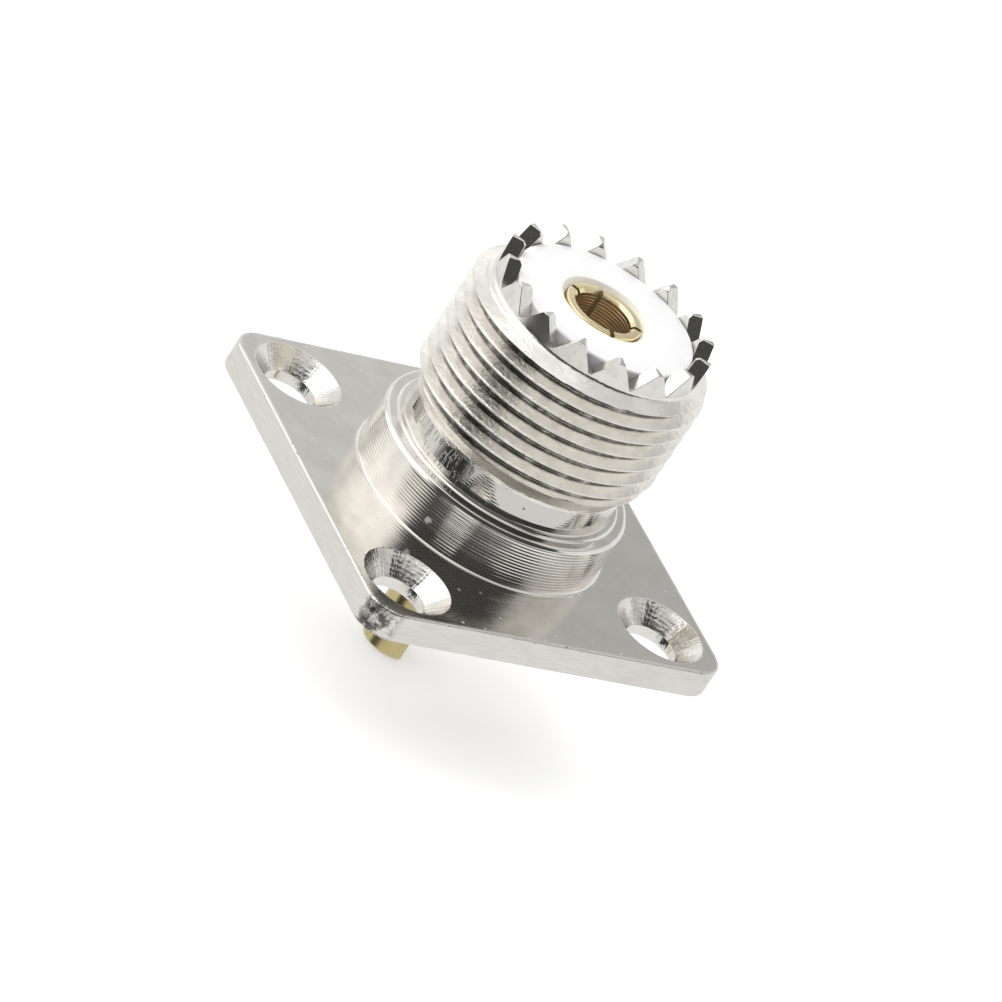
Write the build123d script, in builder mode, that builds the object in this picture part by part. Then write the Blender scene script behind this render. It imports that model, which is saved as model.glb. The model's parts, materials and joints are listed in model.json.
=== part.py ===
"""Chassis-mount UHF coaxial receptacle: a turned body with a square four-hole flange, a white
insulator and a slotted centre contact with a solder cup.

Millimetres. +Z is the connector's axis, towards the plug that screws on. The origin is the centre
of the flange's rear face, which lies against the panel. The flange's sides are along X and Y.
"""

import os
from math import radians, tan

from build123d import *

# Flange
flange_side = 25.5
flange_thickness = 1.9
flange_corner_radius = 2.0
flange_edge_break = 0.15
hole_edge_distance = 3.5  # from a hole's axis to each of the two nearest sides
hole_dia = 3.4
countersink_dia = 5.7
countersink_angle = 90.0

# Barrel, in order from the flange to the crown's tips
boss_height = 3.44
boss_edge_break = 0.35
neck_length = 2.16
neck_foot_slope = 0.25  # 45 degrees, between the boss and the neck
runout_length = 1.3
thread_length = 6.64
thread_dia = 15.8  # over the crests
nose_height = 0.61
crown_foot_height = 0.24
tooth_height = 1.46

# Crown
tooth_count = 16
first_groove_angle = 14.65
groove_flank_angle = 36.0  # each flank, from the axis
groove_floor_width = 0.15
crown_inner_bevel = 0.22

# Bore and the walls around it
front_bore_dia = 11.84
seat_step = 0.58  # radial, from the front bore out to the insulator's seat
seat_depth = 5.0  # from the spigot's end to the shoulder
crown_wall = 0.95
neck_wall = 1.03
boss_ledge = 1.18  # radial, from the neck out to the boss
spigot_wall = 0.8
spigot_height = 1.6
rim_thickness = 0.5  # the spigot's end, rolled in over the insulator
rim_overlap = 0.8

# Insulator
insulator_clearance = 0.03  # radial
insulator_recess = 0.75  # from the crown's tips down to the insulator's face
insulator_edge_break = 0.12
mouth_flare = 0.35

# Centre contact
socket_dia = 5.0
socket_recess = 0.1  # below the insulator's face
socket_edge_break = 0.1
pin_bore_dia = 3.64
pin_bore_depth = 10.5
pin_bore_lead_in = 0.2
drill_point_angle = 118.0
socket_length = 12.3
finger_clearance = 0.06  # radial, lets the fingers spring outwards
slot_width = 0.3
slot_length = 6.0
slot_angles = (72.0, 128.0, 257.0, 327.0)
tail_dia = 3.35
tail_clearance = 0.03  # radial
tail_reach = 9.3  # behind the flange's rear face
barb_height = 0.35
barb_length = 0.8
cup_bore_dia = 2.3
cup_depth = 4.5
cup_edge_break = 0.12
scoop_length = 3.6
scoop_offset = 0.15  # the cut stands this far beyond the axis
scoop_corner_radius = 1.0

# Sizes that follow
hole_spacing = flange_side - 2 * hole_edge_distance
seat_bore_dia = front_bore_dia + 2 * seat_step
crown_dia = front_bore_dia + 2 * crown_wall
neck_dia = front_bore_dia + 2 * neck_wall
boss_dia = neck_dia + 2 * boss_ledge
spigot_dia = seat_bore_dia + 2 * spigot_wall
rim_bore_dia = seat_bore_dia - 2 * rim_overlap

# Levels along the axis
flange_top = flange_thickness
boss_top = flange_top + boss_height
neck_top = boss_top + neck_length
thread_start = neck_top + runout_length
thread_end = thread_start + thread_length
nose_top = thread_end + nose_height
groove_floor = nose_top + crown_foot_height
crown_top = groove_floor + tooth_height
spigot_end = -spigot_height
rim_face = spigot_end + rim_thickness
shoulder = spigot_end + seat_depth
insulator_face = crown_top - insulator_recess
socket_front = insulator_face - socket_recess
socket_back = socket_front - socket_length
tail_end = -tail_reach
overshoot = 1.0  # how far a cutter runs past what it cuts


# Cutter for one groove of the crown
with BuildPart() as groove_cutter:
    with BuildSketch(Plane.YZ.offset(front_bore_dia / 2 - overshoot)):
        cut_height = tooth_height + overshoot
        floor_half = groove_floor_width / 2
        mouth_half = floor_half + cut_height * tan(radians(groove_flank_angle))
        with BuildLine():
            Polyline(
                (-floor_half, groove_floor),
                (floor_half, groove_floor),
                (mouth_half, groove_floor + cut_height),
                (-mouth_half, groove_floor + cut_height),
                close=True,
            )
        make_face()
    extrude(amount=crown_wall + 2 * overshoot)


# Body: flange, boss, neck, barrel and crown in one piece
with BuildPart() as shell:
    with BuildSketch():
        RectangleRounded(flange_side, flange_side, flange_corner_radius)
    extrude(amount=flange_thickness)
    chamfer(shell.faces().sort_by(Axis.Z)[-1].edges(), flange_edge_break)
    chamfer(shell.faces().sort_by(Axis.Z)[0].edges(), flange_edge_break)

    # the turned outside, from the rolled rim up to the crown's tips
    with BuildSketch(Plane.XZ):
        with BuildLine():
            Polyline(
                (0, spigot_end),
                (spigot_dia / 2 - rim_thickness, spigot_end),
                (spigot_dia / 2, rim_face),
                (spigot_dia / 2, flange_top / 2),
                (boss_dia / 2, flange_top / 2),
                (boss_dia / 2, boss_top - boss_edge_break),
                (boss_dia / 2 - boss_edge_break, boss_top),
                (neck_dia / 2 + neck_foot_slope, boss_top),
                (neck_dia / 2, boss_top + neck_foot_slope),
                (neck_dia / 2, neck_top),
                (thread_dia / 2, thread_start),
                (thread_dia / 2, thread_end),
                (crown_dia / 2, nose_top),
                (crown_dia / 2, crown_top),
                (0, crown_top),
                close=True,
            )
        make_face()
    revolve(axis=Axis.Z)

    # the bore: the rim's mouth, the insulator's seat and the long front bore
    with BuildSketch(Plane.XZ):
        with BuildLine():
            Polyline(
                (0, spigot_end - overshoot),
                (rim_bore_dia / 2, spigot_end - overshoot),
                (rim_bore_dia / 2, rim_face),
                (seat_bore_dia / 2, rim_face),
                (seat_bore_dia / 2, shoulder),
                (front_bore_dia / 2, shoulder),
                (front_bore_dia / 2, crown_top - crown_inner_bevel),
                (front_bore_dia / 2 + crown_inner_bevel, crown_top),
                (front_bore_dia / 2 + crown_inner_bevel, crown_top + overshoot),
                (0, crown_top + overshoot),
                close=True,
            )
        make_face()
    revolve(axis=Axis.Z, mode=Mode.SUBTRACT)

    with PolarLocations(0, tooth_count, start_angle=first_groove_angle):
        add(groove_cutter.part, mode=Mode.SUBTRACT)

    with Locations(Plane.XY.offset(flange_top)):
        with GridLocations(hole_spacing, hole_spacing, 2, 2):
            CounterSinkHole(
                radius=hole_dia / 2,
                counter_sink_radius=countersink_dia / 2,
                counter_sink_angle=countersink_angle,
            )
shell.part.label = "shell"


# Insulator: fills the bore, its head trapped between the shoulder and the rolled rim
with BuildPart() as insulator:
    front_radius = front_bore_dia / 2 - insulator_clearance
    head_radius = seat_bore_dia / 2 - insulator_clearance
    socket_hole_radius = socket_dia / 2 + finger_clearance
    tail_hole_radius = tail_dia / 2 + tail_clearance
    with BuildSketch(Plane.XZ):
        with BuildLine():
            Polyline(
                (tail_hole_radius, rim_face),
                (head_radius, rim_face),
                (head_radius, shoulder),
                (front_radius, shoulder),
                (front_radius, insulator_face - insulator_edge_break),
                (front_radius - insulator_edge_break, insulator_face),
                (socket_hole_radius + mouth_flare, insulator_face),
                (socket_hole_radius, insulator_face - mouth_flare),
                (socket_hole_radius, socket_back),
                (tail_hole_radius, socket_back),
                close=True,
            )
        make_face()
    revolve(axis=Axis.Z)
insulator.part.label = "insulator"


# Centre contact: slotted socket in front, barbed tail and solder cup behind
with BuildPart() as center_contact:
    socket_radius = socket_dia / 2
    tail_radius = tail_dia / 2
    barb_radius = tail_radius + barb_height
    with BuildSketch(Plane.XZ):
        with BuildLine():
            Polyline(
                (0, tail_end),
                (tail_radius - cup_edge_break, tail_end),
                (tail_radius, tail_end + cup_edge_break),
                (tail_radius, rim_face - barb_length),
                (barb_radius, rim_face),
                (tail_radius, rim_face),
                (tail_radius, socket_back),
                (socket_radius, socket_back),
                (socket_radius, socket_front - socket_edge_break),
                (socket_radius - socket_edge_break, socket_front),
                (0, socket_front),
                close=True,
            )
        make_face()
    revolve(axis=Axis.Z)

    # the plug pin's bore, drilled from the front with a conical bottom and a countersunk mouth
    pin_radius = pin_bore_dia / 2
    pin_bore_end = socket_front - pin_bore_depth
    drill_point = pin_radius / tan(radians(drill_point_angle / 2))
    with BuildSketch(Plane.XZ):
        with BuildLine():
            Polyline(
                (0, pin_bore_end - drill_point),
                (pin_radius, pin_bore_end),
                (pin_radius, socket_front - pin_bore_lead_in),
                (pin_radius + pin_bore_lead_in + overshoot, socket_front + overshoot),
                (0, socket_front + overshoot),
                close=True,
            )
        make_face()
    revolve(axis=Axis.Z, mode=Mode.SUBTRACT)

    # the saw cuts that part the socket into fingers
    for angle in slot_angles:
        with Locations(Location((0, 0, socket_front), (0, 0, angle))):
            Box(
                socket_dia,
                slot_width,
                2 * slot_length,
                align=(Align.MIN, Align.CENTER, Align.CENTER),
                mode=Mode.SUBTRACT,
            )

    # the solder cup's bore, then the scoop that opens one side of it, rounded where it ends
    with BuildSketch(Plane.XY.offset(tail_end)):
        Circle(cup_bore_dia / 2)
    extrude(amount=cup_depth, mode=Mode.SUBTRACT)
    with BuildSketch(Plane.XZ) as scoop_profile:
        with Locations((scoop_offset, tail_end + scoop_length)):
            Rectangle(tail_dia, 2 * scoop_length, align=(Align.MIN, Align.MAX))
        inner_corners = scoop_profile.vertices().group_by(Axis.X)[0]
        fillet(inner_corners.sort_by(Axis.Y)[-1], scoop_corner_radius)
    extrude(amount=tail_dia, both=True, mode=Mode.SUBTRACT)
center_contact.part.label = "center_contact"


os.makedirs("parts", exist_ok=True)
export_step(shell.part, "parts/shell.step")
export_step(insulator.part, "parts/insulator.step")
export_step(center_contact.part, "parts/center_contact.step")
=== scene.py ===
"""Looks of the chassis-mount coaxial receptacle: its plated body with a cut thread and a milled
crown, the white insulator and the gilt contact, on a pale floor in a light studio.

Lengths are in millimetres until a mesh is finished, when it is scaled to metres.
"""

import json
from math import asin, cos, pi, radians, sin, tan

import bmesh
import bpy
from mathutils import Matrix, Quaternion, Vector


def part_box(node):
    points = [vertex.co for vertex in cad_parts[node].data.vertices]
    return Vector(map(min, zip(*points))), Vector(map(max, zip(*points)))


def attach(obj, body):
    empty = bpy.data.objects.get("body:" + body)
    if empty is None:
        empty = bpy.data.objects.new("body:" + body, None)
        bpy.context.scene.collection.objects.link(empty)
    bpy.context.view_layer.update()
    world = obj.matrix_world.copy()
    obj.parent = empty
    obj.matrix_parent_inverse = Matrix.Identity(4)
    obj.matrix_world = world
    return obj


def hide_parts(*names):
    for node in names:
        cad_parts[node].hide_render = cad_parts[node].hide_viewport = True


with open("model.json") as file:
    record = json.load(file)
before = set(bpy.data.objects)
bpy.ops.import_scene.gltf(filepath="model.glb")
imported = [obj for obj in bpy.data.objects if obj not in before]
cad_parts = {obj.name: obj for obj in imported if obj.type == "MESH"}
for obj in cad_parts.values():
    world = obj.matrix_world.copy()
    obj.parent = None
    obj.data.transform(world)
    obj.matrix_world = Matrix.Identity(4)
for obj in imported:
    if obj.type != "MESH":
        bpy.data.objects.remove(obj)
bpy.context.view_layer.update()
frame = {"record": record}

MM = 0.001
weld_distance = 1e-4  # points nearer than this become one
level_tolerance = 1e-3  # points this near to a level lie in it

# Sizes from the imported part
mounts = {mount["name"]: mount for mount in frame["record"]["mounts"]}
hole_spacing = mounts["flange_holes"]["dims"]["spacing_x_mm"]
hole_radius = mounts["flange_holes"]["dims"]["hole_r_mm"]
thread_radius = mounts["mating_thread"]["dims"]["r_mm"]
thread_length = mounts["mating_thread"]["dims"]["length_mm"]
boss_radius = mounts["boss"]["dims"]["r_mm"]
spigot_radius = mounts["rear_spigot"]["dims"]["r_mm"]
pin_bore_radius = mounts["contact_socket"]["dims"]["r_mm"]
cup_radius = mounts["solder_cup"]["dims"]["r_mm"]
cup_depth = mounts["solder_cup"]["dims"]["length_mm"]
shell_low, shell_high = (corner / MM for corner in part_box("shell"))
insulator_low, insulator_high = (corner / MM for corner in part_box("insulator"))
contact_low, contact_high = (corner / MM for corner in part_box("center_contact"))

# Flange
flange_half = shell_high.x
flange_top = 1.9
flange_corner_radius = 2.0
flange_edge_round = 0.12
countersink_radius = 2.85
hole_half_spacing = hole_spacing / 2
hole_lip = 0.12  # how far a hole's faces reach into the flange's two large ones
hole_foot_round = 0.06
countersink_round = 0.05
flange_round_steps = 3
outline_corner_steps = 12
outline_side_steps = 14
hole_steps = 80

# Barrel
boss_top = 5.34
neck_radius = 6.95
neck_top = 7.5
thread_start = 8.8
thread_end = thread_start + thread_length
nose_top = 16.05
crown_radius = 6.87
crown_top = shell_high.z
bore_radius = 5.92
seat_radius = 6.5
shoulder = 3.4
rim_radius = 5.7
rim_thickness = 0.5
spigot_end = shell_low.z
rim_face = insulator_low.z

# Barrel's corners
boss_foot_round = 0.2
boss_top_round = 0.33
step_radius = 7.43  # a low bevelled step on the boss's ledge, round the neck
step_bevel = 0.16
step_height = 0.12
step_round = 0.02
neck_foot_round = 0.03
neck_finish_rise = 0.1  # from the neck's foot up to where its own finish starts
boss_round_steps = 6
rim_mouth_round = 0.1
rim_round = 0.2

# Thread
thread_pitch = 25.4 / 24
thread_depth = 0.70
crest_half_width = 0.04
crest_rounding = 0.04
root_rounding = 0.06
flank_angle = radians(30)  # of each flank, from the plane across the axis
crest_angle = radians(229)  # where a crest stands at crest_level
crest_level = 14.45
thread_finish_drop = 0.3  # from the neck's top down to where the thread's rows start
run_out_fillet = 0.08
thread_end_round = 0.05  # of the crests, where they fade out at both ends
nose_fillet = 0.2
rows_per_pitch = 28

# Crown
crown_foot = 16.2
tooth_count = 16
first_groove_angle = 14.65
groove_floor = 16.29
groove_floor_half = 0.075
groove_flank_angle = radians(36)
crown_inner_bevel = 0.22
crown_bore_length = 1  # from the grooves' floor down to where the crown's faces end
crown_edge_break = 0.03
crown_edge_angle = radians(30)  # every sharper outward edge is broken
flank_steps = 6
columns = tooth_count * (2 * flank_steps + 4)  # round every ring of the body

# Insulator
insulator_radius = 5.89
insulator_head_radius = 6.47
insulator_head_round = 0.1
insulator_edge_round = 0.14
inner_corner_round = 0.02
socket_hole_radius = 2.56
socket_hole_foot_round = 0.05
tail_hole_radius = 1.705
mouth_flare = 0.35
mouth_round = 0.06
insulator_steps = 160

# Centre contact
socket_radius = 2.5
socket_back = 4.6
socket_edge_round = 0.1
tail_radius = 1.675
barb_radius = 2.025
barb_length = 0.8
barb_round = 0.05
pin_bore_end = 6.4
pin_lead_in = 0.2
pin_lead_in_round = 0.05
pin_mouth_round = 0.04
bore_finish_depth = 0.4  # from the socket's front to where its bore's own finish starts
drill_point_half_angle = radians(59)
slot_width = 0.3
slot_depth = 6.0
slot_angles = (72, 128, 257, 327)
scoop_length = 3.6
scoop_offset = 0.15
scoop_corner_radius = 1.0
scoop_steps = 12
cup_edge_round = 0.12
cutter_overshoot = 1  # how far a cutter runs past what it cuts
contact_edge_break = 0.03
contact_edge_angle = radians(50)  # every sharper edge is broken
contact_steps = 96

# Camera, fitted to the photo's own
camera_place = Vector((-261.74, -300.72, 210.61)) * MM
camera_aim = Vector((-0.086, -1.692, 3.449)) * MM
camera_roll = radians(33.45)
camera_lens = 274.44
camera_sensor = 36.0


# Curves and ramps

def smooth_max(a, b, width):
    """The larger of two numbers, with the corner between them rounded over this width."""
    near = max(width - abs(a - b), 0) / width
    return max(a, b) + near * near * width / 4


def smooth_min(a, b, width):
    """The smaller of two numbers, with the corner between them rounded over this width."""
    return -smooth_max(-a, -b, width)


def rounded(corners, steps=4):
    """An outline in (radius, height) through corners that each give their own rounding radius."""
    line = []
    for number, (radius, height, rounding) in enumerate(corners):
        here = Vector((radius, height))
        if rounding == 0:
            line.append(here)
            continue
        before = (Vector(corners[number - 1][:2]) - here).normalized()
        after = (Vector(corners[number + 1][:2]) - here).normalized()
        half = before.angle(after) / 2
        centre = here + (before + after).normalized() * rounding / sin(half)
        start = here + before * rounding / tan(half) - centre
        end = here + after * rounding / tan(half) - centre
        for step in range(steps + 1):
            line.append(centre + start.lerp(end, step / steps).normalized() * rounding)
    return line


# Meshes from rings

class Shape:
    """The rings and faces of one mesh while it is being made."""

    def __init__(self):
        self.points = []
        self.faces = []
        self.finishes = []

    def ring(self, places):
        first = len(self.points)
        self.points.extend(places)
        return range(first, len(self.points))

    def circle(self, radius, height, steps, centre=(0, 0)):
        turns = [2 * pi * step / steps for step in range(steps)]
        return self.ring(
            [(centre[0] + radius * cos(t), centre[1] + radius * sin(t), height) for t in turns]
        )

    def band(self, lower, upper, finish):
        """Four-sided faces between two closed rings of as many points."""
        for i in range(len(lower)):
            j = (i + 1) % len(lower)
            self.face((lower[i], lower[j], upper[j], upper[i]), finish)

    def face(self, corners, finish):
        self.faces.append(corners)
        self.finishes.append(finish)

    def lathe(self, line, steps, finish, centre=(0, 0)):
        """Bands between circles through this outline in (radius, height)."""
        rings = [self.circle(radius, height, steps, centre) for radius, height in line]
        for lower, upper in zip(rings, rings[1:]):
            self.band(lower, upper, finish)

    def build(self, name, materials, flat_levels=()):
        """The finished object, in metres. Open edges at a flat level are filled across it."""
        mesh = bpy.data.meshes.new(name)
        mesh.from_pydata([tuple(p) for p in self.points], [], [tuple(f) for f in self.faces])
        for material in materials:
            mesh.materials.append(material)
        mesh.polygons.foreach_set("material_index", self.finishes)
        model = bmesh.new()
        model.from_mesh(mesh)
        bmesh.ops.remove_doubles(model, verts=model.verts, dist=weld_distance)
        for level, finish in flat_levels:
            edge_loop = [
                edge
                for edge in model.edges
                if edge.is_boundary
                and all(abs(vertex.co.z - level) < level_tolerance for vertex in edge.verts)
            ]
            filled = bmesh.ops.triangle_fill(
                model, use_beauty=True, use_dissolve=False, edges=edge_loop, normal=(0, 0, 1)
            )
            for item in filled["geom"]:
                if isinstance(item, bmesh.types.BMFace):
                    item.material_index = finish
        bmesh.ops.recalc_face_normals(model, faces=model.faces)
        bmesh.ops.scale(model, vec=(MM, MM, MM), verts=model.verts)
        model.to_mesh(mesh)
        model.free()
        piece = bpy.data.objects.new(name, mesh)
        bpy.context.scene.collection.objects.link(piece)
        return piece


def soften(piece, sharp_angle=radians(32)):
    """Smooth shading with creases at real edges, and flat faces that stay flat."""
    model = bmesh.new()
    model.from_mesh(piece.data)
    for face in model.faces:
        face.smooth = True
    for edge in model.edges:
        edge.smooth = len(edge.link_faces) == 2 and edge.calc_face_angle(0) < sharp_angle
    model.to_mesh(piece.data)
    model.free()
    weighted = piece.modifiers.new("flat faces stay flat", "WEIGHTED_NORMAL")
    weighted.keep_sharp = True
    weighted.weight = 100


def carve(piece, cutter):
    """Cuts one mesh away from another, and removes the cutter."""
    cut = piece.modifiers.new("cut", "BOOLEAN")
    cut.operation = "DIFFERENCE"
    cut.solver = "EXACT"
    cut.object = cutter
    bpy.context.view_layer.update()
    shown = piece.evaluated_get(bpy.context.evaluated_depsgraph_get())
    result = bpy.data.meshes.new_from_object(shown)
    piece.modifiers.remove(cut)
    piece.data = result
    bpy.data.objects.remove(cutter)


# Nodes

class Net:
    """Makes and joins the nodes of one material or world."""

    def __init__(self, tree):
        self.tree = tree
        tree.nodes.clear()

    def add(self, kind, *values, output=0, **settings):
        """A node with these settings. Its inputs are filled with numbers or other nodes' outputs,
        in order, or by name or number through inputs."""
        node = self.tree.nodes.new(kind)
        named = settings.pop("inputs", {})
        for key, value in settings.items():
            setattr(node, key, value)
        for place, value in [*enumerate(values), *named.items()]:
            if value is None:
                continue
            if isinstance(value, bpy.types.NodeSocket):
                self.tree.links.new(value, node.inputs[place])
            else:
                node.inputs[place].default_value = value
        return node.outputs[output] if node.outputs else None

    def math(self, operation, *values):
        return self.add("ShaderNodeMath", *values, operation=operation)

    def vector(self, operation, *values):
        return self.add("ShaderNodeVectorMath", *values, operation=operation)

    def length(self, value):
        return self.add("ShaderNodeVectorMath", value, operation="LENGTH", output=1)

    def dot(self, value, axis):
        return self.add(
            "ShaderNodeVectorMath", value, tuple(axis), operation="DOT_PRODUCT", output=1
        )

    def ramp(self, value, low, high, to_low=0.0, to_high=1.0):
        """Carries a range of a value smoothly over to another range."""
        return self.add(
            "ShaderNodeMapRange", value, low, high, to_low, to_high, interpolation_type="SMOOTHSTEP"
        )

    def mix(self, share, first, second):
        """A colour between two, which is the second where the share is 1."""
        return self.add(
            "ShaderNodeMix", inputs={0: share, 6: first, 7: second}, output=2, data_type="RGBA"
        )

    def noise(self, place, scale, detail=3.0, roughness=0.5):
        return self.add(
            "ShaderNodeTexNoise",
            inputs={"Vector": place, "Scale": scale, "Detail": detail, "Roughness": roughness},
        )

    def place(self):
        """Object coordinates in millimetres."""
        found = self.add("ShaderNodeTexCoord", output=3)
        return self.vector("MULTIPLY", found, (1 / MM, 1 / MM, 1 / MM))

    def split(self, vector):
        node = self.tree.nodes.new("ShaderNodeSeparateXYZ")
        self.tree.links.new(vector, node.inputs[0])
        return node.outputs

    def bump(self, height, distance, strength=1.0, normal=None):
        """A bump made from this height field. The distance is in millimetres."""
        return self.add(
            "ShaderNodeBump",
            inputs={
                "Height": height,
                "Distance": distance * MM,
                "Strength": strength,
                "Normal": normal,
            },
        )


def grey(value, warmth=0.0):
    """A grey, made warmer by raising red by this share and lowering blue by twice it."""
    return (value * (1 + warmth), value, value * (1 - 2 * warmth), 1)


def metal(name, paint):
    """A metal whose colour, roughness and normal come from paint(net, place)."""
    material = bpy.data.materials.new(name)
    material.use_nodes = True
    net = Net(material.node_tree)
    colour, roughness, normal = paint(net, net.place())
    shader = net.add(
        "ShaderNodeBsdfPrincipled",
        inputs={"Base Color": colour, "Metallic": 1.0, "Roughness": roughness, "Normal": normal},
    )
    net.add("ShaderNodeOutputMaterial", shader)
    return material


# Colours

nickel = grey(0.78, 0.028)
nickel_dull = grey(0.70, 0.032)
nickel_worn = grey(0.15, 0.03)
# Painted shade for the thread's root
painted_root_shade = grey(0.10, 0.06)
gilt = (0.95, 0.83, 0.54, 1)
gilt_dull = (0.84, 0.71, 0.42, 1)
# Painted shade for the contact's tail behind the flange
gilt_painted_shade = (0.50, 0.42, 0.20, 1)
brown = (0.95, 0.80, 0.60, 1)
brown_dull = (0.86, 0.68, 0.49, 1)
# Painted warm glow of the gilt contact on the insulator
white_painted_glow = (0.82, 0.79, 0.69, 1)

# Where the plating is marked: the flange in x and y, boss and neck in degrees and height
flange_chips = ((-5.5, -9.1), (-6.6, -12.2), (-2.4, -6.3), (-3.9, -9.0), (-3.4, -11.1))
boss_chip = (215.5, 3.22)
neck_pits = ((250, neck_top + 0.2), (253.5, neck_top + 0.2), (258.4, neck_top + 0.2))
neck_streak = (292.5, 6.75)
neck_scrape = (194, 6.9)
neck_dull_spot = (197, 7.45)


# Finishes

def specks(net, place, scale, threshold):
    """Sparse round specks, from 0 to 1."""
    cells = net.add(
        "ShaderNodeTexVoronoi", inputs={"Vector": place, "Scale": scale, "Randomness": 1.0}
    )
    return net.ramp(cells, threshold, threshold * 0.5)


def product(net, *values):
    """All these values multiplied together."""
    found = values[0]
    for value in values[1:]:
        found = net.math("MULTIPLY", found, value)
    return found


def radius_of(net, place):
    """Distance from the axis."""
    return net.length(net.vector("MULTIPLY", place, (1, 1, 0)))


def mark(net, place, centre, breadth, height):
    """One soft-edged mark round a point, from 0 to 1."""
    offset = net.vector("SUBTRACT", place, centre)
    scaled = net.vector("MULTIPLY", offset, (2 / breadth, 2 / breadth, 2 / height))
    ragged = net.math("ADD", net.length(scaled), net.noise(place, 5.0, 2.0))
    return net.ramp(ragged, 1.7, 1.1)


def on_barrel(radius, turn, height):
    """The point at this radius, angle in degrees and height."""
    return (radius * cos(radians(turn)), radius * sin(radians(turn)), height)


def turned(net, place, pitch, depth, wander):
    """Turning marks: fine rings along the axis, uneven in depth and spacing."""
    along = net.vector("MULTIPLY", place, (0, 0, 1))
    level = net.split(place)[2]
    drift = net.math("MULTIPLY", net.noise(along, 2.2, 2.0), wander)
    phase = net.math("ADD", net.math("MULTIPLY", level, 2 * pi / pitch), drift)
    rings = net.math("MULTIPLY", net.math("SINE", phase), 0.5)
    uneven = net.math("MULTIPLY", net.noise(along, 6.0, 3.0), 0.8)
    return net.bump(net.math("ADD", rings, uneven), depth)


def paint_flange(net, place):
    """Cloudy, slightly dull plating with a few pale chips."""
    cloud = net.noise(place, 0.35, 4.0, 0.6)
    grain = net.noise(place, 22.0, 3.0, 0.6)
    marks = specks(net, place, 0.9, 0.10)
    for x, y in flange_chips:
        chip = mark(net, place, (x, y, flange_top), 0.24, 1.0)
        marks = net.math("MAXIMUM", marks, chip)
    colour = net.mix(net.ramp(cloud, 0.35, 0.7), grey(0.74, 0.03), grey(0.66, 0.035))
    colour = net.mix(net.math("MULTIPLY", marks, 0.6), colour, grey(0.92))
    smooth = net.ramp(net.math("MULTIPLY_ADD", grain, 0.3, cloud), 0.4, 0.9, 0.10, 0.18)
    roughness = net.math("MULTIPLY_ADD", marks, 0.4, smooth)
    normal = net.bump(grain, 0.002, 0.6)
    return colour, roughness, net.bump(marks, 0.006, 0.5, normal)


def paint_edge(net, place):
    """Sawn sides with faint streaks. The nearest corner is battered, the others far less, and
    the top edge is a little nicked."""
    cloud = net.noise(place, 0.5, 4.0, 0.6)
    streaks = net.noise(net.vector("MULTIPLY", place, (0.6, 0.6, 9.0)), 1.2, 3.0, 0.6)
    grain = net.noise(place, 14.0, 4.0, 0.65)
    blotch = net.noise(place, 1.8, 5.0, 0.65)
    x_size, y_size, level = net.split(net.vector("ABSOLUTE", place))
    x, y = net.split(place)[:2]
    worn = net.ramp(net.math("ADD", x, y), -10.0, -18.0, 0.12, 1.0)
    corner = product(net, worn, net.ramp(net.math("MINIMUM", x_size, y_size), 10.7, 11.6))
    upper = net.ramp(level, flange_top - 0.3, flange_top - 0.1)
    nicks = product(net, upper, net.ramp(net.noise(place, 3.6, 3.0, 0.6), 0.64, 0.70))
    dark = product(net, corner, net.ramp(blotch, 0.40, 0.56))
    colour = net.mix(net.ramp(streaks, 0.35, 0.7), grey(0.78, 0.028), grey(0.71, 0.032))
    colour = net.mix(net.math("MAXIMUM", dark, nicks), colour, nickel_worn)
    plain = net.ramp(cloud, 0.3, 0.7, 0.24, 0.38)
    roughness = net.math("MULTIPLY_ADD", corner, -0.14, plain)
    height = net.math("MULTIPLY_ADD", grain, 0.6, streaks)
    normal = net.bump(height, 0.012, 0.7)
    return colour, roughness, net.bump(product(net, corner, blotch), 0.10, 0.8, normal)


def paint_boss(net, place):
    """Bright plating with turning marks and one pale chip."""
    cloud = net.noise(place, 0.6, 3.0)
    colour = net.mix(net.ramp(cloud, 0.4, 0.7), nickel, nickel_dull)
    chip = mark(net, place, on_barrel(boss_radius, *boss_chip), 0.5, 0.5)
    colour = net.mix(net.math("MULTIPLY", chip, 0.8), colour, grey(0.95))
    smooth = net.ramp(cloud, 0.35, 0.7, 0.05, 0.08)
    roughness = net.math("MULTIPLY_ADD", chip, 0.55, smooth)
    return colour, roughness, turned(net, place, 0.21, 0.015, 1.5)


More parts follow.
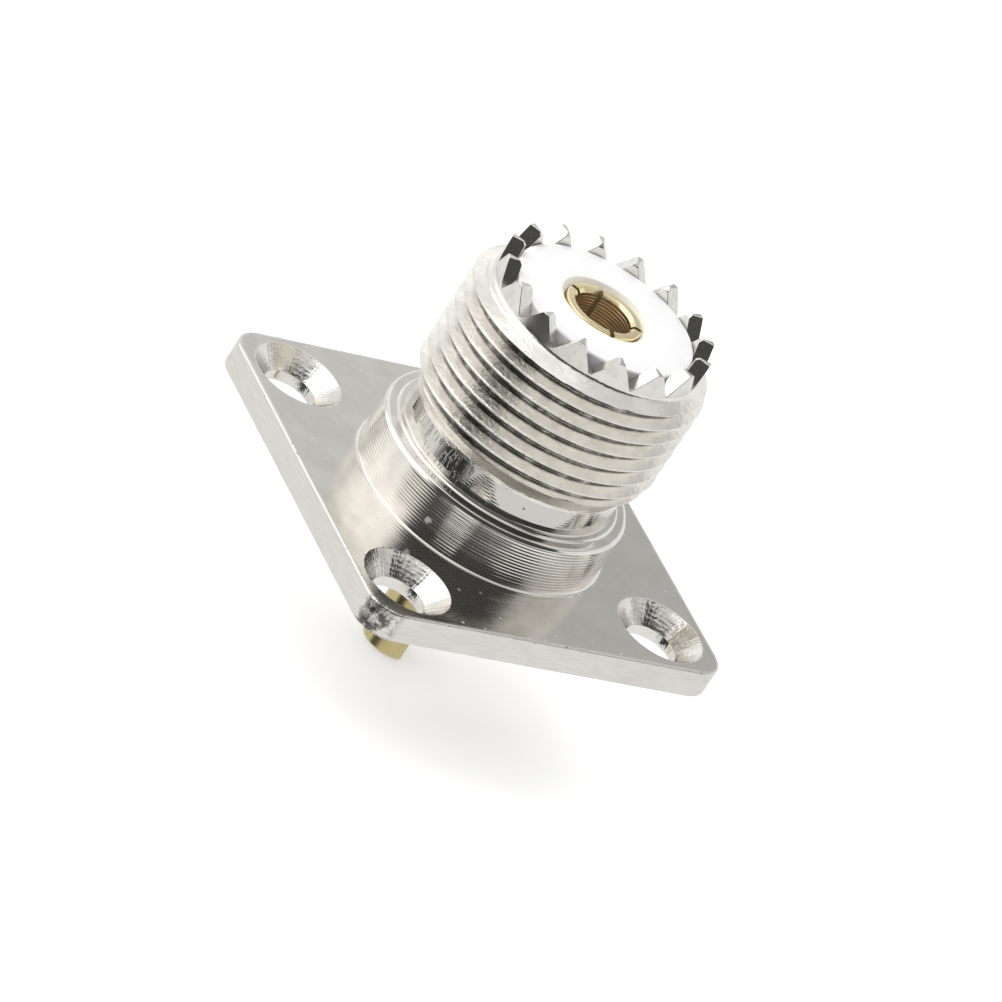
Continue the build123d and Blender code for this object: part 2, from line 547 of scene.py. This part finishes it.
def paint_neck(net, place):
    """Smooth plating with pits, a streak, a scraped stretch and a dull spot."""
    cloud = net.noise(place, 0.8, 4.0, 0.6)
    pits = specks(net, place, 1.4, 0.12)
    for pit_place in neck_pits:
        pit = mark(net, place, on_barrel(neck_radius, *pit_place), 0.35, 0.3)
        pits = net.math("MAXIMUM", pits, pit)
    streak = mark(net, place, on_barrel(neck_radius, *neck_streak), 0.3, 1.2)
    scraped = mark(net, place, on_barrel(neck_radius, *neck_scrape), 7.5, 3.6)
    scratches = net.noise(net.vector("MULTIPLY", place, (5.0, 5.0, 0.9)), 1.0, 3.0, 0.6)
    scratches = product(net, scraped, net.ramp(scratches, 0.54, 0.64))
    dull_spot = mark(net, place, on_barrel(neck_radius, *neck_dull_spot), 1.6, 0.6)
    dark = net.math("MAXIMUM", pits, net.math("MULTIPLY", streak, 0.7))
    dark = net.math("MAXIMUM", dark, net.math("MULTIPLY", scratches, 0.6))
    # The neck's plating grey is darker than the boss's: painted shade standing in for the dimmer
    # reflections along the neck.
    colour = net.mix(net.math("MULTIPLY", dark, 0.8), grey(0.62, 0.03), nickel_worn)
    smooth = net.ramp(cloud, 0.35, 0.7, 0.04, 0.08)
    roughness = net.math("MULTIPLY_ADD", dull_spot, 0.2, smooth)
    normal = turned(net, place, 0.19, 0.001, 2.0)
    blotch = product(net, dull_spot, net.noise(place, 5.0, 3.0, 0.6))
    normal = net.bump(blotch, 0.08, 0.8, normal)
    normal = net.bump(scratches, -0.01, 0.7, normal)
    return colour, roughness, net.bump(pits, -0.03, 0.6, normal)


def paint_thread(net, place):
    """Dulled plating, blotchy to the light, with painted shade darkening the root."""
    root_radius = thread_radius - thread_depth
    level = net.split(place)[2]
    in_root = net.ramp(radius_of(net, place), root_radius + 0.17, root_radius + 0.03)
    above_neck = net.ramp(level, neck_top + 0.5, neck_top + 1.0)
    below_nose = net.ramp(level, thread_end, thread_end - 0.3)
    patchy = net.ramp(net.noise(place, 1.1, 3.0, 0.6), 0.25, 0.55, 0.45, 0.95)
    # Painted shade: the colour darkens towards the root, in patches, where the crests shade it.
    root_shade = product(net, in_root, above_neck, below_nose, patchy)
    cloud = net.noise(place, 0.9, 4.0, 0.6)
    blotch = net.noise(net.vector("MULTIPLY", place, (1.0, 1.0, 2.2)), 2.0, 4.0, 0.6)
    grain = net.noise(place, 12.0, 3.0, 0.6)
    colour = net.mix(net.ramp(cloud, 0.35, 0.7), grey(0.84, 0.032), grey(0.76, 0.036))
    colour = net.mix(root_shade, colour, painted_root_shade)
    roughness = net.ramp(cloud, 0.35, 0.7, 0.10, 0.20)
    normal = net.bump(blotch, 0.05, 0.7)
    return colour, roughness, net.bump(grain, 0.003, 0.6, normal)


def paint_crown(net, place):
    """Bright plating with fine level scratches."""
    cloud = net.noise(place, 1.6, 4.0, 0.6)
    scratches = net.noise(net.vector("MULTIPLY", place, (3.0, 3.0, 14.0)), 1.6, 4.0, 0.65)
    colour = net.mix(net.ramp(cloud, 0.35, 0.7), nickel, nickel_dull)
    roughness = net.ramp(cloud, 0.35, 0.7, 0.08, 0.14)
    return colour, roughness, net.bump(scratches, 0.008, 0.8)


def paint_countersink(net, place):
    """Uneven chatter and faint rings round the nearest flange hole."""
    offset = (hole_half_spacing, hole_half_spacing, 0)
    local = net.vector("SUBTRACT", net.vector("ABSOLUTE", place), offset)
    level = net.vector("MULTIPLY", local, (1, 1, 0))
    direction = net.vector("NORMALIZE", level)
    side = net.vector("SIGN", place)
    chatter = net.noise(net.vector("MULTIPLY_ADD", side, (3, 5, 0), direction), 6.0, 2.0, 0.5)
    uneven = net.noise(place, 0.7, 2.0)
    rings = net.math("SINE", net.math("MULTIPLY", net.length(level), 2 * pi / 0.2))
    height = net.math("MULTIPLY_ADD", rings, 0.03, chatter)
    height = net.math("MULTIPLY_ADD", net.noise(place, 3.0, 3.0, 0.6), 0.7, height)
    colour = net.mix(net.ramp(uneven, 0.35, 0.7), nickel, nickel_dull)
    roughness = net.ramp(uneven, 0.35, 0.7, 0.08, 0.14)
    return colour, roughness, net.bump(height, 0.05, 0.8)


def paint_contact(net, place):
    """Gilt with fine turning marks, with painted shade on the tail behind the flange."""
    cloud = net.noise(place, 1.2, 4.0, 0.6)
    gold = net.mix(net.ramp(cloud, 0.35, 0.7), gilt, gilt_dull)
    # Painted shade: the gilt darkens down the tail behind the flange, standing in for the dark
    # underside it mirrors.
    behind = net.ramp(net.split(place)[2], 0.0, -5.0, 0.0, 0.9)
    gold = net.mix(behind, gold, gilt_painted_shade)
    normal = turned(net, place, 0.16, 0.0015, 2.0)
    return gold, net.ramp(cloud, 0.3, 0.7, 0.16, 0.24), normal


def paint_bore(net, place):
    """The socket's dull brownish bore, with rings left by the drill."""
    cloud = net.noise(place, 1.2, 4.0, 0.6)
    colour = net.mix(net.ramp(cloud, 0.35, 0.7), brown, brown_dull)
    roughness = net.ramp(cloud, 0.35, 0.7, 0.32, 0.40)
    return colour, roughness, turned(net, place, 0.2, 0.02, 2.0)


def insulator_material():
    """White plastic, with a painted warm glow round the socket hole where the gilt contact would
    shine on it.
    """
    material = bpy.data.materials.new("white_insulator_moulded")
    material.use_nodes = True
    net = Net(material.node_tree)
    place = net.place()
    cloud = net.noise(place, 0.5, 3.0)
    grain = net.noise(place, 30.0, 3.0, 0.6)
    # Painted reflected light: a warm gold tint round the socket hole, standing in for light the
    # gilt contact throws on the plastic.
    painted_glow_share = net.ramp(radius_of(net, place), socket_hole_radius + 0.8, socket_hole_radius)
    colour = net.mix(cloud, grey(0.83), grey(0.80))
    colour = net.mix(painted_glow_share, colour, white_painted_glow)
    shader = net.add(
        "ShaderNodeBsdfPrincipled",
        inputs={
            "Base Color": colour,
            "Roughness": net.ramp(grain, 0.3, 0.7, 0.38, 0.5),
            "Normal": net.bump(grain, 0.002, 0.5),
            "Subsurface Weight": 0.15,
            "Subsurface Scale": 0.4 * MM,
            "Subsurface Radius": (1.0, 1.0, 1.0),
        },
    )
    net.add("ShaderNodeOutputMaterial", shader)
    return material


# Body

body_finishes = {
    "flange": paint_flange,
    "edge": paint_edge,
    "boss": paint_boss,
    "neck": paint_neck,
    "thread": paint_thread,
    "crown": paint_crown,
    "countersink": paint_countersink,
}
finish_number = {name: number for number, name in enumerate(body_finishes)}


def square_outline(inset):
    """The flange's rounded square, this far inside its sides."""
    reach = flange_half - flange_corner_radius
    radius = flange_corner_radius - inset
    half = flange_half - inset
    places = []
    for quarter in range(4):
        turn = pi / 2 * quarter
        corner = [
            (reach + radius * cos(pi / 2 * s / outline_corner_steps),
             reach + radius * sin(pi / 2 * s / outline_corner_steps))
            for s in range(outline_corner_steps + 1)
        ]
        side = [
            (reach - 2 * reach * s / outline_side_steps, half)
            for s in range(1, outline_side_steps)
        ]
        for x, y in corner + side:
            places.append((x * cos(turn) - y * sin(turn), x * sin(turn) + y * cos(turn)))
    return places


def add_flange(shape):
    """Side faces and holes. The two large faces are filled in afterwards."""
    side = rounded(
        [
            (flange_edge_round * 2, 0, 0),
            (0, 0, flange_edge_round),
            (0, flange_top, flange_edge_round),
            (flange_edge_round * 2, flange_top, 0),
        ],
        flange_round_steps,
    )
    rings = [
        shape.ring([(x, y, height) for x, y in square_outline(inset)]) for inset, height in side
    ]
    for lower, upper in zip(rings, rings[1:]):
        shape.band(lower, upper, finish_number["edge"])
    cone_foot = flange_top - (countersink_radius - hole_radius)
    wall = rounded(
        [
            (hole_radius + hole_lip, 0, 0),
            (hole_radius, 0, hole_foot_round),
            (hole_radius, cone_foot, countersink_round),
            (countersink_radius, flange_top, countersink_round),
            (countersink_radius + hole_lip, flange_top, 0),
        ],
        flange_round_steps,
    )
    for x in (-hole_half_spacing, hole_half_spacing):
        for y in (-hole_half_spacing, hole_half_spacing):
            shape.lathe(wall, hole_steps, finish_number["countersink"], (x, y))


def thread_surface(height, phase):
    """The barrel's radius at this height, where phase counts pitches from the nearest crest."""
    from_crest = abs(phase - round(phase)) * thread_pitch
    fall = (from_crest - crest_half_width) / tan(flank_angle)
    fall = smooth_min(smooth_max(fall, 0, crest_rounding), thread_depth, root_rounding)
    cone_slope = (thread_radius - neck_radius) / (thread_start - neck_top)
    run_out = neck_radius + (height - neck_top) * cone_slope
    run_out = smooth_max(neck_radius, run_out, run_out_fillet)
    nose_slope = (thread_radius - crown_radius) / (nose_top - thread_end)
    nose = crown_radius + (nose_top - height) * nose_slope
    nose = smooth_max(crown_radius, nose, nose_fillet)
    radius = smooth_min(thread_radius - fall, run_out, thread_end_round)
    return smooth_min(radius, nose, thread_end_round)


def add_thread(shape, low, high):
    """The threaded stretch, in rows that follow the helix and are cut off at both ends."""
    first = int((low - crest_level) / thread_pitch - 2) * rows_per_pitch
    last = int((high - crest_level) / thread_pitch + 2) * rows_per_pitch
    rows = []
    for row in range(first, last + 1):
        phase = row / rows_per_pitch
        places = []
        for column in range(columns):
            turn = 2 * pi * column / columns
            height = crest_level + thread_pitch * (phase + (turn - crest_angle) / (2 * pi))
            height = min(max(height, low), high)
            radius = thread_surface(height, phase)
            places.append((radius * cos(turn), radius * sin(turn), height))
        rows.append(shape.ring(places))
    for number in range(len(rows) - 1):
        lower, upper = rows[number], rows[number + 1]
        for i in range(columns - 1):
            j = i + 1
            if any(shape.points[lower[k]][2] != shape.points[upper[k]][2] for k in (i, j)):
                shape.face((lower[i], lower[j], upper[j], upper[i]), finish_number["thread"])
        over = number + rows_per_pitch
        if over + 1 < len(rows):
            corners = (lower[columns - 1], rows[over][0], rows[over + 1][0], upper[columns - 1])
            heights = {shape.points[corner][2] for corner in corners}
            if len(heights) > 1:
                shape.face(corners, finish_number["thread"])


def crown_ring(radius):
    """The crown's upper edge at this radius: the place of each column, groove by groove."""
    top = min(crown_top, crown_top - crown_inner_bevel + radius - bore_radius)
    flank = []
    for step in range(flank_steps + 1):
        rise = (top - groove_floor) * step / flank_steps
        offset = groove_floor_half + rise * tan(groove_flank_angle)
        flank.append((asin(offset / radius), groove_floor + rise))
    profile = [(-pi / tooth_count, top)]
    profile += [(-turn, height) for turn, height in reversed(flank)]
    profile += [(0, groove_floor), *flank]
    places = []
    for tooth in range(tooth_count):
        groove = radians(first_groove_angle + 360 / tooth_count * tooth)
        for turn, height in profile:
            places.append((radius * cos(groove + turn), radius * sin(groove + turn), height))
    return places


def add_crown(shape):
    """Teeth between the nose and the bore. Their columns start beside the first groove."""
    start = radians(first_groove_angle) - pi / tooth_count
    shift = round(start / (2 * pi) * columns)
    foot = shape.circle(crown_radius, crown_foot, columns)
    foot = [foot[(i + shift) % columns] for i in range(columns)]
    outer = shape.ring(crown_ring(crown_radius))
    middle = shape.ring(crown_ring((crown_radius + bore_radius + crown_inner_bevel) / 2))
    inner = shape.ring(crown_ring(bore_radius + crown_inner_bevel))
    edge = shape.ring(crown_ring(bore_radius))
    bore = shape.circle(bore_radius, groove_floor - crown_bore_length, columns)
    bore = [bore[(i + shift) % columns] for i in range(columns)]
    rings = (foot, outer, middle, inner, edge, bore)
    for lower, upper in zip(rings, rings[1:]):
        shape.band(lower, upper, finish_number["crown"])


def break_crown_edges(piece):
    """Narrow bevels along the outward edges of the crown."""
    model = bmesh.new()
    model.from_mesh(piece.data)
    weight = model.edges.layers.float.new("bevel_weight_edge")
    lowest = (groove_floor - level_tolerance) * MM
    for edge in model.edges:
        on_crown = all(vertex.co.z > lowest for vertex in edge.verts)
        if on_crown and len(edge.link_faces) == 2:
            if edge.calc_face_angle_signed(0) > crown_edge_angle:
                edge[weight] = 1.0
    model.to_mesh(piece.data)
    model.free()
    bevel = piece.modifiers.new("broken edges", "BEVEL")
    bevel.width = crown_edge_break * MM
    bevel.segments = 2
    bevel.limit_method = "WEIGHT"


def make_body():
    shape = Shape()
    add_flange(shape)
    neck_foot = boss_top + step_height
    neck_low = neck_foot + neck_finish_rise
    thread_low = neck_top - thread_finish_drop
    bore_top = groove_floor - crown_bore_length
    boss = rounded(
        [
            (boss_radius + 1.5 * boss_foot_round, flange_top, 0),
            (boss_radius, flange_top, boss_foot_round),
            (boss_radius, boss_top, boss_top_round),
            (step_radius, boss_top, step_round),
            (step_radius - step_bevel, neck_foot, step_round),
            (neck_radius, neck_foot, neck_foot_round),
            (neck_radius, neck_low, 0),
        ],
        boss_round_steps,
    )
    shape.lathe(boss, columns, finish_number["boss"])
    neck_levels = (neck_low, (neck_foot + thread_low) / 2, thread_low)
    shape.lathe([(neck_radius, level) for level in neck_levels], columns, finish_number["neck"])
    add_thread(shape, thread_low, crown_foot)
    add_crown(shape)
    bore = rounded(
        [
            (bore_radius, bore_top, 0),
            (bore_radius, shoulder, 0),
            (seat_radius, shoulder, 0),
            (seat_radius, rim_face, 0),
            (rim_radius, rim_face, 0),
            (rim_radius, spigot_end, rim_mouth_round),
            (spigot_radius - rim_thickness, spigot_end, rim_round),
            (spigot_radius, rim_face, rim_round),
            (spigot_radius, 0, 0),
        ]
    )
    shape.lathe(bore, columns, finish_number["boss"])
    materials = [metal("nickel_" + name, paint) for name, paint in body_finishes.items()]
    flange_faces = ((0, finish_number["flange"]), (flange_top, finish_number["flange"]))
    piece = shape.build("plated_body", materials, flange_faces)
    break_crown_edges(piece)
    soften(piece)
    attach(piece, "root")
    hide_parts("shell")


# Insulator

def make_insulator():
    shape = Shape()
    face = insulator_high.z
    line = rounded(
        [
            (tail_hole_radius, rim_face, 0),
            (insulator_head_radius, rim_face, insulator_head_round),
            (insulator_head_radius, shoulder, insulator_head_round),
            (insulator_radius, shoulder, inner_corner_round),
            (insulator_radius, face, insulator_edge_round),
            (socket_hole_radius + mouth_flare, face, mouth_round),
            (socket_hole_radius, face - mouth_flare, mouth_round),
            (socket_hole_radius, socket_back, socket_hole_foot_round),
            (tail_hole_radius, socket_back, inner_corner_round),
            (tail_hole_radius, rim_face, 0),
        ]
    )
    shape.lathe(line, insulator_steps, 0)
    piece = shape.build("moulded_insulator", [insulator_material()])
    soften(piece)
    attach(piece, "root")
    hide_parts("insulator")


# Centre contact

def block(name, outline, half_width, turn=0.0):
    """A solid of this outline in x and z, this wide to both sides, turned about the axis."""
    shape = Shape()
    sides = []
    for y in (-half_width, half_width):
        places = [
            (x * cos(turn) - y * sin(turn), x * sin(turn) + y * cos(turn), z) for x, z in outline
        ]
        sides.append(shape.ring(places))
    shape.band(sides[0], sides[1], 0)
    for side in sides:
        shape.face(tuple(side), 0)
    return shape.build(name, [])


def make_contact():
    shape = Shape()
    front = contact_high.z
    bore_top = front - bore_finish_depth
    end = contact_low.z
    outside = rounded(
        [
            (cup_radius, end, 0),
            (tail_radius, end, cup_edge_round),
            (tail_radius, rim_face - barb_length, barb_round),
            (barb_radius, rim_face, barb_round),
            (tail_radius, rim_face, inner_corner_round),
            (tail_radius, socket_back, inner_corner_round),
            (socket_radius, socket_back, socket_edge_round),
            (socket_radius, front, socket_edge_round),
            (pin_bore_radius + pin_lead_in, front, pin_mouth_round),
            (pin_bore_radius, front - pin_lead_in, pin_lead_in_round),
            (pin_bore_radius, bore_top, 0),
        ]
    )
    shape.lathe(outside, contact_steps, 0)
    drill_point = pin_bore_radius / tan(drill_point_half_angle)
    bore = [
        (pin_bore_radius, bore_top),
        (pin_bore_radius, pin_bore_end),
        (0, pin_bore_end - drill_point),
    ]
    shape.lathe(bore, contact_steps, 1)
    cup = [(0, end + cup_depth), (cup_radius, end + cup_depth), (cup_radius, end)]
    shape.lathe(cup, contact_steps, 0)
    materials = [metal("gilt_contact", paint_contact), metal("socket_bore", paint_bore)]
    piece = shape.build("gilt_contact", materials)
    reach = socket_radius + cutter_overshoot
    above = front + cutter_overshoot
    below = end - cutter_overshoot
    slot_floor = front - slot_depth
    slot = ((0, slot_floor), (reach, slot_floor), (reach, above), (0, above))
    for angle in slot_angles:
        carve(piece, block("slot_cutter", slot, slot_width / 2, radians(angle)))
    scoop = rounded(
        [
            (scoop_offset, below, 0),
            (scoop_offset, end + scoop_length, scoop_corner_radius),
            (reach, end + scoop_length, 0),
            (reach, below, 0),
        ],
        scoop_steps,
    )
    carve(piece, block("scoop_cutter", scoop, reach))
    edges = piece.modifiers.new("broken edges", "BEVEL")
    edges.width = contact_edge_break * MM
    edges.segments = 2
    edges.limit_method = "ANGLE"
    edges.angle_limit = contact_edge_angle
    soften(piece)
    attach(piece, "root")
    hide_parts("center_contact")


# Studio

floor_half = 3000.0
floor_glow = 0.28  # lifts the part's shadow


def make_floor():
    shape = Shape()
    signs = ((-1, -1), (1, -1), (1, 1), (-1, 1))
    corners = shape.ring([(x * floor_half, y * floor_half, contact_low.z) for x, y in signs])
    shape.face(corners, 0)
    material = bpy.data.materials.new("pale_floor")
    material.use_nodes = True
    net = Net(material.node_tree)
    cloud = net.noise(net.place(), 0.02, 2.0)
    colour = net.mix(cloud, grey(0.93), grey(0.95))
    shader = net.add(
        "ShaderNodeBsdfPrincipled",
        inputs={
            "Base Color": colour,
            "Roughness": 0.7,
            "Emission Color": grey(1.0),
            "Emission Strength": floor_glow,
        },
    )
    net.add("ShaderNodeOutputMaterial", shader)
    floor = shape.build("floor", [material])
    floor.visible_glossy = False


# Each card of the studio round the part: azimuth and elevation of its middle, half its width and
# height, how far its edges fade, all in degrees, and its brightness. Later ones cover earlier ones.
studio_cards = (
    (90, 35, 50, 60, 30, 0.95),  # pale wall
    (330, 22, 45, 16, 24, 0.47),  # grey wall
    (45, 22, 22, 25, 20, 0.52),  # grey stretch behind the part, between the walls
    (145, 30, 36, 40, 12, 1.55),  # softbox
    (150, -30, 14, 30, 14, 1.0),  # pale stretch below the softbox
    (104, -32, 14, 30, 14, 0.72),  # grey stretch below the pale wall
    (250, 24, 62, 34, 12, 0.07),  # dark side, where the camera stands
    (186, -35, 19, 30, 16, 0.05),  # dark stretch low beside the camera
)
room_brightness = 0.75  # wherever no card hangs
ceiling_brightness = 1.17
ceiling_middle = Vector((-0.170, 0.119, 0.978))
ceiling_inner = radians(8)  # as bright as it gets up to this far from its middle
ceiling_outer = radians(26)  # and not there beyond this
table_brightness = 0.93
table_normal = Vector((-0.527, -0.012, 0.850))  # how the part leans on it in this studio
table_edge = -0.05
table_edge_fade = 0.03
diffuse_boost = 0.9  # extra light for matt surfaces only, as from lamps that no metal mirrors

back_card_place = (24, 61, 33)
back_card_size = 42
back_card_brightness = 0.2


def make_world():
    world = bpy.data.worlds.new("studio")
    bpy.context.scene.world = world
    world.use_nodes = True
    net = Net(world.node_tree)
    direction = net.add("ShaderNodeTexCoord", output=0)
    x, y, z = net.split(direction)
    azimuth = net.math("ARCTAN2", y, x)
    elevation = net.math("ARCSINE", z)
    upwards = net.dot(direction, ceiling_middle)
    overhead = net.ramp(upwards, cos(ceiling_outer), cos(ceiling_inner))
    light = net.mix(overhead, grey(room_brightness), grey(ceiling_brightness))
    for middle, level, half_width, half_height, fade, brightness in studio_cards:
        away = net.math("SUBTRACT", azimuth, radians(middle))
        away = net.math("ABSOLUTE", net.math("WRAP", away, pi, -pi))
        aside = net.ramp(away, radians(half_width + fade / 2), radians(half_width - fade / 2))
        off = net.math("ABSOLUTE", net.math("SUBTRACT", elevation, radians(level)))
        above = net.ramp(off, radians(half_height + fade / 2), radians(half_height - fade / 2))
        light = net.mix(net.math("MULTIPLY", aside, above), light, grey(brightness))
    rise = net.dot(direction, table_normal)
    on_table = net.ramp(rise, table_edge + table_edge_fade, table_edge - table_edge_fade)
    light = net.mix(on_table, light, grey(table_brightness))
    paths = net.tree.nodes.new("ShaderNodeLightPath").outputs
    light = net.mix(paths["Is Camera Ray"], light, grey(1.0))
    strength = net.math("MULTIPLY_ADD", paths["Is Diffuse Ray"], diffuse_boost, 1.0)
    background = net.add("ShaderNodeBackground", light, strength)
    net.add("ShaderNodeOutputWorld", background)


def make_back_card():
    """A small pale card behind the part, so near that only the flange's far corner mirrors it."""
    lamp = bpy.data.lights.new("back_card", "AREA")
    lamp.shape = "SQUARE"
    lamp.size = back_card_size * MM
    lamp.energy = back_card_brightness * pi * lamp.size**2
    card = bpy.data.objects.new("back_card", lamp)
    bpy.context.scene.collection.objects.link(card)
    card.location = Vector(back_card_place) * MM
    card.rotation_mode = "QUATERNION"
    card.rotation_quaternion = (-card.location).to_track_quat("-Z", "Y")
    card.visible_camera = False
    card.visible_diffuse = False


def make_camera():
    camera = bpy.data.objects.new("camera", bpy.data.cameras.new("camera"))
    bpy.context.scene.collection.objects.link(camera)
    bpy.context.scene.camera = camera
    camera.data.lens = camera_lens
    camera.data.sensor_width = camera_sensor
    camera.data.clip_start = 0.05
    camera.data.clip_end = 20
    camera.location = camera_place
    level = (camera_aim - camera_place).to_track_quat("-Z", "Y")
    camera.rotation_mode = "QUATERNION"
    camera.rotation_quaternion = level @ Quaternion((0, 0, 1), camera_roll)


make_body()
make_insulator()
make_contact()
make_floor()
make_world()
make_back_card()
make_camera()

view = bpy.context.scene.view_settings
view.view_transform = "Standard"
